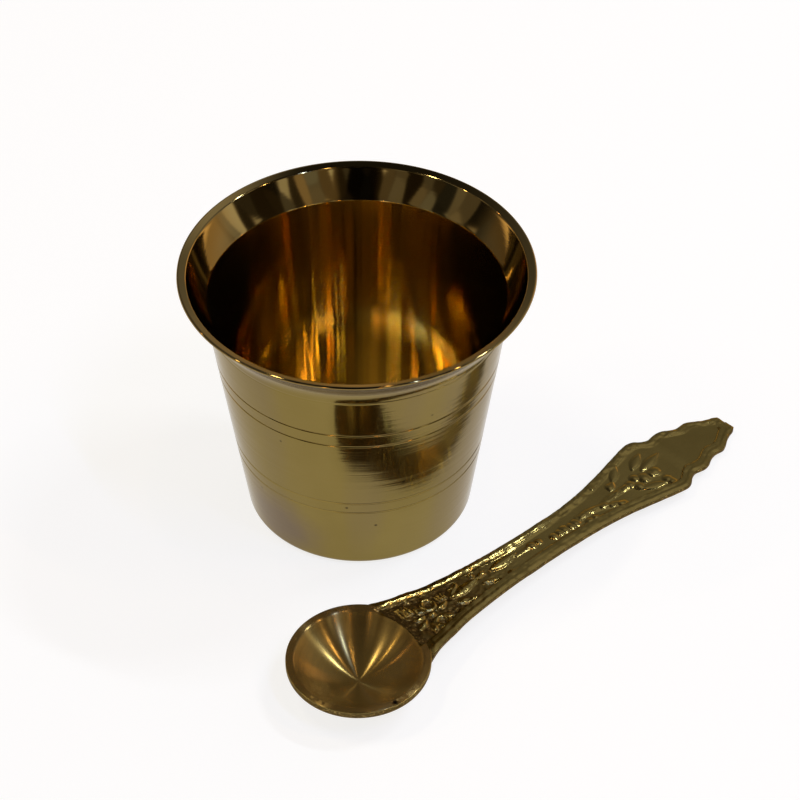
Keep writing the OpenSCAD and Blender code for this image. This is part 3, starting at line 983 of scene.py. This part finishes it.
def makeFloor():
    deselectAll()
    bpy.ops.mesh.primitive_plane_add(size=stage["floorSize"])
    floor = bpy.context.active_object
    floor.name = "floor"
    material, tree = newMaterial("whitePaper")   # matt paper, pale all over, with a faint shadow
    path = addNode(tree, 'LightPath')
    seen = addNode(tree, 'Math',
        {0: (path, "Is Camera Ray"), 1: (path, "Is Glossy Ray")}, {"operation": 'MAXIMUM'})
    seen = addNode(tree, 'Math', {0: (seen, 0), 1: (path, "Is Transmission Ray")}, {"operation": 'MAXIMUM'})
    paper = addNode(tree, 'BsdfDiffuse', {"Color": hexColour(stage["floorColour"])})
    faint = addNode(tree, 'BsdfDiffuse', {"Color": (stage["shadowShare"],) * 3 + (1,)})
    white = addNode(tree, 'Emission', {"Strength": stage["white"]})
    shown = addNode(tree, 'AddShader', {0: (faint, 0), 1: (white, 0)})
    mix = addNode(tree, 'MixShader', {0: (seen, 0), 1: (paper, 0), 2: (shown, 0)})
    addNode(tree, 'OutputMaterial', {"Surface": (mix, 0)})
    floor.data.materials.append(material)


view = {
    "place": (0.009084, -0.408850, 0.396502),
    "tiltDeg": 47.82,
    "lensMm": 112.5,
    "sensorMm": 36.0,
}
# each spoke of light in the spoon's bowl: its plan angle and the tilt of the wall there, then the
# lamp's length and width in degrees, strength and colour
spokeLamps = (
    (140, 24, 15, 2.0, 80, "#dfe9f5"),
    (127, 33, 16, 1.1, 50, "#ffd9a8"),
    (111, 34, 18, 1.1, 95, "#9cb8ff"),
    (102, 22, 10, 1.0, 36, "#ffd9a8"),
    (61, 22, 16, 2.0, 44, "#fff0d0"),
    (47, 34, 14, 1.1, 36, "#ffe2a8"),
    (28, 34, 10, 1.0, 18, "#ffc890"),
)
lamps = (  # azimuth from +X and elevation in degrees, width and height in degrees, strength, colour
    (307, 14, 2, 2, 30, "#ffb460"),
    (283, 16, 2, 2, 30, "#ffb460"),
    (252, 15, 2, 2, 30, "#ffb460"),
    (48, 18, 26, 16, 1.1, "#ffbe70"),
)
lampDistance = 1.4


def hangLamp(name, way, upright, width, height, strength, colour):
    light = bpy.data.lights.new(name, 'AREA')
    light.shape = 'RECTANGLE'
    light.size = math.radians(width) * lampDistance
    light.size_y = math.radians(height) * lampDistance
    light.energy = strength * math.pi * light.size * light.size_y
    light.color = hexColour(colour)[:3]
    lamp = bpy.data.objects.new(name, light)
    bpy.context.scene.collection.objects.link(lamp)
    lamp.location = way * lampDistance
    back = way.normalized()
    right = upright.cross(back).normalized()
    lamp.rotation_euler = Matrix((right, back.cross(right), back)).transposed().to_euler()
    lamp.visible_camera = False


def makeLamps():
    for i, (azimuth, elevation, width, height, strength, colour) in enumerate(lamps):
        a, e = math.radians(azimuth), math.radians(elevation)
        way = Vector((math.cos(a) * math.cos(e), math.sin(a) * math.cos(e), math.sin(e)))
        hangLamp("lamp%d" % i, way, Vector((0, 0, 1)), width, height, strength, colour)
    toViewer = (Vector(view["place"]) - bowlCentre).normalized()

    def mirrored(angle, tilt):
        a, e = math.radians(angle), math.radians(tilt)
        wall = Vector((-math.cos(a) * math.sin(e), -math.sin(a) * math.sin(e), math.cos(e)))
        return 2 * toViewer.dot(wall) * wall - toViewer

    for i, (angle, tilt, length, width, strength, colour) in enumerate(spokeLamps):
        way = mirrored(angle, tilt)
        hangLamp("spoke%d" % i, way, mirrored(angle, tilt + 1) - way, width, length, strength, colour)


def makeWorld():
    # a dim room: even and pale behind the object, broken up and darker on the viewer's side
    world = bpy.data.worlds.new("room")
    world.use_nodes = True
    tree = world.node_tree
    tree.nodes.clear()
    coords = addNode(tree, 'TexCoord')
    axes = addNode(tree, 'SeparateXYZ', {0: (coords, "Generated")})
    toward = addNode(tree, 'Math', {0: (axes, "Y"), 1: -1.0}, product)
    azimuth = addNode(tree, 'Math', {0: (axes, "X"), 1: (toward, 0)}, {"operation": 'ARCTAN2'})
    elevation = addNode(tree, 'Math', {0: (axes, "Z")}, {"operation": 'ARCSINE'})
    plan = addNode(tree, 'CombineXYZ', {0: (azimuth, 0), 1: (elevation, 0)})
    spread = addNode(tree, 'Mapping', {"Vector": (plan, 0), "Scale": (7.0, 2.4, 1.0)})
    panels = addNode(tree, 'TexVoronoi', {"Vector": (spread, 0), "Scale": 1.0, "Smoothness": 0.45},
        {"voronoi_dimensions": '2D', "feature": 'SMOOTH_F1'})
    pick = addNode(tree, 'SeparateColor', {0: (panels, "Color")})
    shelf = addNode(tree, 'Math', {0: (pick, 0), 1: 3.0}, {"operation": 'POWER'})
    shelf = addNode(tree, 'Math', {0: (shelf, 0), 1: 1.5, 2: 0.03}, {"operation": 'MULTIPLY_ADD'})
    off = addNode(tree, 'Math', {0: (azimuth, 0)}, {"operation": 'ABSOLUTE'})
    clear = addNode(tree, 'MapRange',
        {"Value": (off, 0), "From Min": 0.2, "From Max": 0.32, "To Min": 0.15}, eased)
    viewerSide = addNode(tree, 'Math', {0: (shelf, 0), 1: (clear, 0)}, product)
    side = addNode(tree, 'MapRange',
        {"Value": (axes, "X"), "From Min": -0.5, "From Max": 0.7, "To Min": 0.13, "To Max": 0.4})
    back = addNode(tree, 'MapRange', {"Value": (axes, "Y"), "From Min": -0.1, "From Max": 0.25}, eased)
    skirting = addNode(tree, 'MapRange',
        {"Value": (axes, "Z"), "From Min": 0.2, "From Max": 0.5, "To Min": 2.0}, eased)
    behind = addNode(tree, 'Math', {0: (side, 0), 1: (skirting, 0)}, product)
    level = addNode(tree, 'Mix', {0: (back, 0), 2: (viewerSide, 0), 3: (behind, 0)}, {"data_type": 'FLOAT'})
    overhead = addNode(tree, 'MapRange',
        {"Value": (axes, "Z"), "From Min": 0.6, "From Max": 0.95, "To Min": 1.0, "To Max": 0.13}, eased)
    level = addNode(tree, 'Math', {0: (level, 0), 1: (overhead, 0)}, product)
    # a pale patch of wall high behind the object, to the right
    fromPatch = addNode(tree, 'VectorMath',
        {0: (coords, "Generated"), 1: (0.22, 0.56, 0.8)}, {"operation": 'DISTANCE'})
    patch = addNode(tree, 'MapRange',
        {"Value": (fromPatch, "Value"), "From Min": 0.04, "From Max": 0.3, "To Min": 0.6,
         "To Max": 0.0}, eased)
    level = addNode(tree, 'Math', {0: (level, 0), 1: (patch, 0)}, {"operation": 'ADD'})
    low = addNode(tree, 'MapRange',
        {"Value": (axes, "Z"), "From Min": 0.03, "From Max": 0.12, "To Min": 2.0, "To Max": 0.0}, eased)
    level = addNode(tree, 'Math', {0: (level, 0), 1: (low, 0)}, {"operation": 'MAXIMUM'})
    hue = addNode(tree, 'Mix', {0: (pick, 1), 6: hexColour("#f2cf9a"), 7: hexColour("#eef0ea")}, rgba)
    glow = addNode(tree, 'MapRange',
        {"Value": (axes, "Z"), "From Min": 0.06, "From Max": 0.5, "To Min": 1.0, "To Max": 0.0}, eased)
    behindHue = addNode(tree, 'Mix', {0: (glow, 0), 6: hexColour("#fffaf4"), 7: hexColour("#ffd89e")}, rgba)
    tint = addNode(tree, 'Mix', {0: (back, 0), 6: (hue, 2), 7: (behindHue, 2)}, rgba)
    shade = addNode(tree, 'Background', {"Color": (tint, 2), "Strength": (level, 0)})
    addNode(tree, 'OutputWorld', {"Surface": (shade, 0)})
    bpy.context.scene.world = world


def makeCamera():
    lens = bpy.data.cameras.new("camera")
    lens.lens = view["lensMm"]
    lens.sensor_width = view["sensorMm"]
    camera = bpy.data.objects.new("camera", lens)
    bpy.context.scene.collection.objects.link(camera)
    camera.location = view["place"]
    camera.rotation_euler = (math.radians(view["tiltDeg"]), 0, 0)
    bpy.context.scene.camera = camera


makeFloor()
makeLamps()
makeWorld()
makeCamera()
bpy.context.scene.view_settings.view_transform = 'Standard'
print("stage set")
